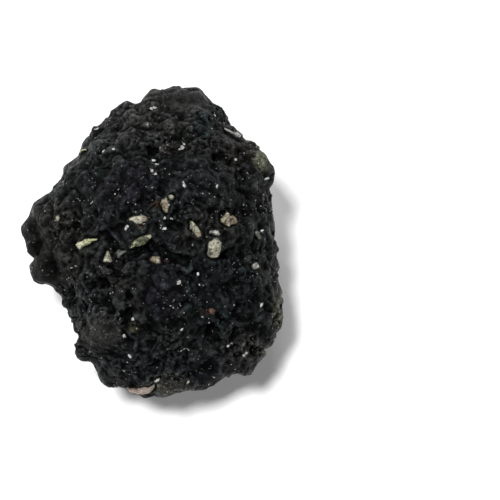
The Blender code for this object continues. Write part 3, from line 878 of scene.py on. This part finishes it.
def mineral_material(kind):
    """A pale mineral: mottled body, warm and pale parts, and stain in its cracks, dark spots and rim."""
    name = f"{kind}_mineral"
    made = bpy.data.materials.get(name)
    if made:
        return made
    light, deep, stain, roughness = MINERALS[kind]
    nodes = Nodes(name)
    body = nodes.mix(nodes.span(nodes.noise(1.3, 6, 0.7), 0.40, 0.58), deep, light)
    body = nodes.mix(nodes.math("MULTIPLY", nodes.attribute("warm"), 0.75), body, WARM_END)
    body = nodes.mix(nodes.math("MULTIPLY", nodes.attribute("pale"), 0.7), body, PALE_SIDE)
    veins = nodes.ramp(nodes.noise(0.8, 5, 0.7), (0.40, 1.0), (0.50, 0.0))
    uneven = nodes.span(nodes.noise(1.0, 3), 0.35, 0.6, 0.3, 1.1)
    rim = nodes.math("MULTIPLY", nodes.attribute("rim"), uneven)
    patchy = nodes.span(nodes.noise(0.6, 4), 0.54, 0.60, 1.2, 0.4)
    dark = nodes.math("MULTIPLY", nodes.attribute("dark"), patchy)
    marks = nodes.math("MAXIMUM", nodes.math("MAXIMUM", veins, rim), dark)
    colour = nodes.mix(nodes.math("MINIMUM", marks, 0.95), body, stain)
    gloss = nodes.span(nodes.noise(0.8, 2), 0.3, 0.7, roughness - 0.12, roughness + 0.15)
    fine = nodes.bump(nodes.noise(0.35, 4, 0.6), 0.2, 0.8)
    return nodes.finish(colour, gloss, fine, 0.4)


def speck_shape(shape, place, normal, turn, long, short, chance):
    """Adds one small angular crystal, half sunk, its long way turned from across."""
    way = Matrix.Rotation(turn, 3, normal) @ across_on(normal)
    axes = Matrix((way, normal.cross(way), normal)).transposed()
    sizes = Vector((long, short, SPECK_THICKNESS * short)) * 0.5 * MM
    corners = []
    for _ in range(SPECK_CORNERS):
        corner = Vector(chance.normal(size=3)).normalized()
        corners.append(shape.verts.new(place + axes @ Vector([a * b for a, b in zip(corner, sizes)])))
    made = bmesh.ops.convex_hull(shape, input=corners)
    lost = [item for item in made["geom_interior"] if isinstance(item, bmesh.types.BMVert)]
    bmesh.ops.delete(shape, geom=lost, context="VERTS")


def add_face_specks(shape, surface, chance):
    """The specks that stand out on the face, each made of a few lumps that overlap."""
    for across, up, long, short, turn in FACE_SPECKS:
        place, normal = on_face(surface, across, up)
        facing = (normal + 2 * OUT).normalized()
        place += SPECK_RAISE * short * MM * facing
        angle = math.radians(turn)
        turned = Matrix.Rotation(angle, 2)
        sizes = (LUMP_SHARE * long, LUMP_SHARE * short)
        for _ in range(SPECK_LUMPS):
            shift = LUMP_SHIFT * MM * (turned @ Vector(chance.normal(size=2) * (long, short)))
            lump = place + shift.x * ACROSS + shift.y * UP
            speck_shape(shape, lump, facing, angle, *sizes, chance)


def add_strewn_specks(shape, surface, chance):
    """Small groups of specks all round the stone, above its foot."""
    least, most = SPECK_LONG
    for _ in range(SPECK_GROUPS):
        way = Vector(chance.normal(size=3)).normalized()
        for _ in range(1 + int(SPECK_CROWD * chance.uniform() ** 2)):
            start = CENTRE + SPECK_START * way + SPECK_SPREAD * MM * Vector(chance.normal(size=3))
            place, normal, _, _ = surface.ray_cast(start, -way)
            if place is None or place.z < FOOT_BLEND[1] * MM:
                continue
            long = least + (most - least) * chance.uniform() ** 2
            short = long * chance.uniform(*SPECK_SHORT)
            speck_shape(shape, place, normal, chance.uniform(0, math.pi), long, short, chance)


def make_specks(surface, chance):
    """White specks, as one joined mesh: the ones that stand out on the face, then small groups all round."""
    shape = bmesh.new()
    add_face_specks(shape, surface, chance)
    add_strewn_specks(shape, surface, chance)
    bmesh.ops.recalc_face_normals(shape, faces=shape.faces)
    specks = add_shape("mineral_specks", shape)
    specks.data.materials.append(mineral_material("glint"))
    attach(specks, "root")


class Nodes:
    """A material's node tree, with short calls for the nodes that the materials here share."""

    def __init__(self, name):
        self.material = bpy.data.materials.new(name)
        self.material.use_nodes = True
        self.tree = self.material.node_tree
        self.shader = self.tree.nodes["Principled BSDF"]
        place = self.tree.nodes.new("ShaderNodeNewGeometry")
        self.place = place.outputs["Position"]

    def put(self, value, socket):
        """Links another node's output to the socket, or sets a number or a tuple on it."""
        if isinstance(value, bpy.types.NodeSocket):
            self.tree.links.new(value, socket)
        elif socket.type == "RGBA":
            socket.default_value = (*value, 1)
        else:
            socket.default_value = value

    def node(self, kind, inputs, output):
        """One output of a new node of this kind, with its inputs put in."""
        made = self.tree.nodes.new(kind)
        for name, value in inputs.items():
            self.put(value, made.inputs[name])
        return made.outputs[output]

    def noise(self, size, detail, roughness=0.55):
        """Noise from 0 to 1 whose swells are this many millimetres across."""
        inputs = {"Scale": 1 / (size * MM), "Detail": detail, "Roughness": roughness, "Vector": self.place}
        return self.node("ShaderNodeTexNoise", inputs, "Fac")

    def cells(self, size, output="Distance"):
        """Distance to the nearest of points strewn this many millimetres apart, or its colour or place."""
        return self.node("ShaderNodeTexVoronoi", {"Scale": 1 / (size * MM), "Vector": self.place}, output)

    def luck(self, size):
        """A number from 0 to 1 that each cell of about this size in millimetres draws for itself."""
        return self.node("ShaderNodeSeparateColor", {"Color": self.cells(size, "Color")}, "Red")

    def vector(self, work, first, second, output="Vector"):
        """Vector arithmetic on two outputs, or an output and a tuple."""
        node = self.tree.nodes.new("ShaderNodeVectorMath")
        node.operation = work
        for socket, value in zip(node.inputs, (first, second)):
            self.put(value, socket)
        return node.outputs[output]

    def facets(self, size):
        """Height in millimetres of small facets that tilt each its own way."""
        tilt = self.vector("SUBTRACT", self.cells(size, "Color"), (0.5, 0.5, 0.5))
        away = self.vector("SUBTRACT", self.place, self.cells(size, "Position"))
        return self.math("MULTIPLY", self.vector("DOT_PRODUCT", away, tilt, "Value"), 1 / MM)

    def attribute(self, name, output="Fac"):
        """The values that the mesh keeps under this name."""
        node = self.tree.nodes.new("ShaderNodeAttribute")
        node.attribute_name = name
        return node.outputs[output]

    def ramp(self, value, *stops):
        """Numbers at positions of the value, blended between them."""
        node = self.tree.nodes.new("ShaderNodeValToRGB")
        marks = node.color_ramp.elements
        while len(marks) < len(stops):
            marks.new(0.5)
        for mark, (position, number) in zip(marks, stops):
            mark.position = position
            mark.color = (number, number, number, 1)
        self.put(value, node.inputs["Fac"])
        return node.outputs["Color"]

    def span(self, value, from_low, from_high, to_low=0.0, to_high=1.0):
        """The value, with the stretch between two numbers moved and scaled to another, and no further."""
        ends = {"From Min": from_low, "From Max": from_high, "To Min": to_low, "To Max": to_high}
        return self.node("ShaderNodeMapRange", {"Value": value, **ends}, "Result")

    def math(self, work, first, second):
        """Arithmetic on two outputs, or an output and a number."""
        node = self.tree.nodes.new("ShaderNodeMath")
        node.operation = work
        for socket, value in zip(node.inputs, (first, second)):
            self.put(value, socket)
        return node.outputs["Value"]

    def mix(self, share, first, second, way="MIX"):
        """The first colour with this share of the second mixed in."""
        node = self.tree.nodes.new("ShaderNodeMix")
        node.data_type = "RGBA"
        node.blend_type = way
        sockets = [node.inputs["Factor"]] + [item for item in node.inputs if item.type == "RGBA"]
        for socket, value in zip(sockets, (share, first, second)):
            self.put(value, socket)
        return [item for item in node.outputs if item.type == "RGBA"][0]

    def bump(self, height, distance, strength, under=None):
        """The normal that a surface has when the height raises it by so many millimetres."""
        inputs = {"Height": height, "Distance": distance * MM, "Strength": strength}
        if under:
            inputs["Normal"] = under
        return self.node("ShaderNodeBump", inputs, "Normal")

    def finish(self, colour, roughness, normal, specular):
        """The material, with its colour, roughness, bump and gloss put in."""
        inputs = {"Base Color": colour, "Roughness": roughness, "Normal": normal}
        inputs["Specular IOR Level"] = specular
        for name, value in inputs.items():
            self.put(value, self.shader.inputs[name])
        return self.material


def basalt_material():
    """Near-black glassy basalt, tinted in patches, with painted shade in its hollows and crevices, and tiny
    pale crumbs that are partly painted glints.
    """
    nodes = Nodes("clinkery_basalt")
    tint = nodes.attribute("tint", "Color")
    rough = nodes.attribute("rough")
    # Painted shade: the colour darkens in the relief's hollows and in the crevices between crumbs, where
    # shade falls.
    relief = nodes.span(nodes.attribute("relief"), -0.40, 0.55)
    hollow_shade = nodes.ramp(relief, (0.0, 0.08), (0.4, 0.45), (1.0, 1.0))
    crumb = nodes.span(nodes.attribute("crumb"), -0.10, 0.12)
    crevice_shade = nodes.ramp(crumb, (0.0, 0.04), (0.45, 0.45), (1.0, 1.0))
    fine_mottle = nodes.span(nodes.noise(0.8, 5, 0.75), 0.35, 0.65, 0.0, 3.8)
    soft_mottle = nodes.span(nodes.noise(1.8, 8, 0.75), 0.35, 0.65, 0.0, 2.9)
    mottle = nodes.mix(rough, soft_mottle, fine_mottle)
    faces = nodes.span(nodes.luck(FACE_CELL), 0.0, 1.0, 0.55, 1.6)
    shade = nodes.math("MULTIPLY", nodes.math("MULTIPLY", hollow_shade, crevice_shade), nodes.math("MULTIPLY", mottle, faces))
    colour = nodes.mix(1.0, tint, shade, "MULTIPLY")
    # Pale mineral bits, which also stand in as painted glints on the basalt.
    picked = nodes.ramp(nodes.luck(BIT_AND_GLINT_CELL), (0.955, 0.0), (0.96, 1.0))
    pale_bits_and_glints = nodes.math("MULTIPLY", picked, nodes.ramp(nodes.cells(BIT_AND_GLINT_CELL), (0.24, 1.0), (0.34, 0.0)))
    pale_bits_and_glints = nodes.math("MULTIPLY", pale_bits_and_glints, nodes.span(rough, 0.0, 1.0, 0.4, 1.0))
    colour = nodes.mix(pale_bits_and_glints, colour, BIT_AND_GLINT_COLOUR)
    roughness = nodes.span(nodes.noise(1.3, 3), 0.35, 0.65, 0.25, 0.5)
    facets = nodes.bump(nodes.facets(FACE_CELL), 1.0, 0.5)
    grit = nodes.math("MULTIPLY", nodes.noise(0.8, 6, 0.75), nodes.span(rough, 0.0, 1.0, 0.6, 1.0))
    fine = nodes.bump(grit, 0.8, 1.0, facets)
    return nodes.finish(colour, roughness, fine, 0.08)


def add_floor():
    """The plain pale floor, which glows a little."""
    bpy.ops.mesh.primitive_plane_add(size=FLOOR_SIZE, location=(0, 0, 0))
    floor = bpy.context.object
    floor.name = "floor"
    nodes = Nodes("floor")
    for name, value in FLOOR_LOOK.items():
        nodes.put(value, nodes.shader.inputs[name])
    floor.data.materials.append(nodes.material)


def add_lamp(name, way, distance, size, power):
    """A square lamp that looks at the stone's middle from this way, given as parts across, up and out."""
    light = bpy.data.lights.new(name, "AREA")
    light.size = size
    light.energy = power
    lamp = add_object(name, light)
    towards = (way[0] * ACROSS + way[1] * UP + way[2] * OUT).normalized()
    lamp.location = CENTRE + distance * towards
    lamp.rotation_euler = towards.to_track_quat("Z", "Y").to_euler()


def add_lights():
    """The lamps, and a faint white light from all round."""
    for name, lamp in LAMPS.items():
        add_lamp(name, *lamp)
    world = bpy.data.worlds.new("studio")
    world.use_nodes = True
    world.node_tree.nodes["Background"].inputs["Color"].default_value = (1, 1, 1, 1)
    world.node_tree.nodes["Background"].inputs["Strength"].default_value = WORLD_STRENGTH
    bpy.context.scene.world = world
    bpy.context.scene.view_settings.view_transform = "Standard"


def add_camera():
    """The camera, at the eye point and square to the face."""
    view = bpy.data.cameras.new("camera")
    view.lens = LENS
    view.sensor_width = SENSOR_WIDTH
    camera = add_object("camera", view)
    camera.matrix_world = Matrix.Translation(EYE) @ Matrix((ACROSS, UP, OUT)).transposed().to_4x4()
    bpy.context.scene.camera = camera


def main():
    """The skin, the grains and the specks, then the floor, the lights and the camera."""
    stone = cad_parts["lava_rock"]
    grains = [node for name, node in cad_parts.items() if name != "lava_rock"]
    skin, seats = make_skin(stone, grains)
    skin.data.materials.clear()
    skin.data.materials.append(basalt_material())
    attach(skin, "root")
    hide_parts("lava_rock")
    chance = np.random.default_rng(SEED)
    far = itertools.cycle(FAR_MINERALS)
    for name, seat in seats.items():
        kind = FACE_GRAINS[name][0] if name in FACE_GRAINS else next(far)
        make_grain(name, seat, mineral_material(kind), chance)
    make_specks(surface_of(skin), chance)
    add_floor()
    add_lights()
    add_camera()


main()
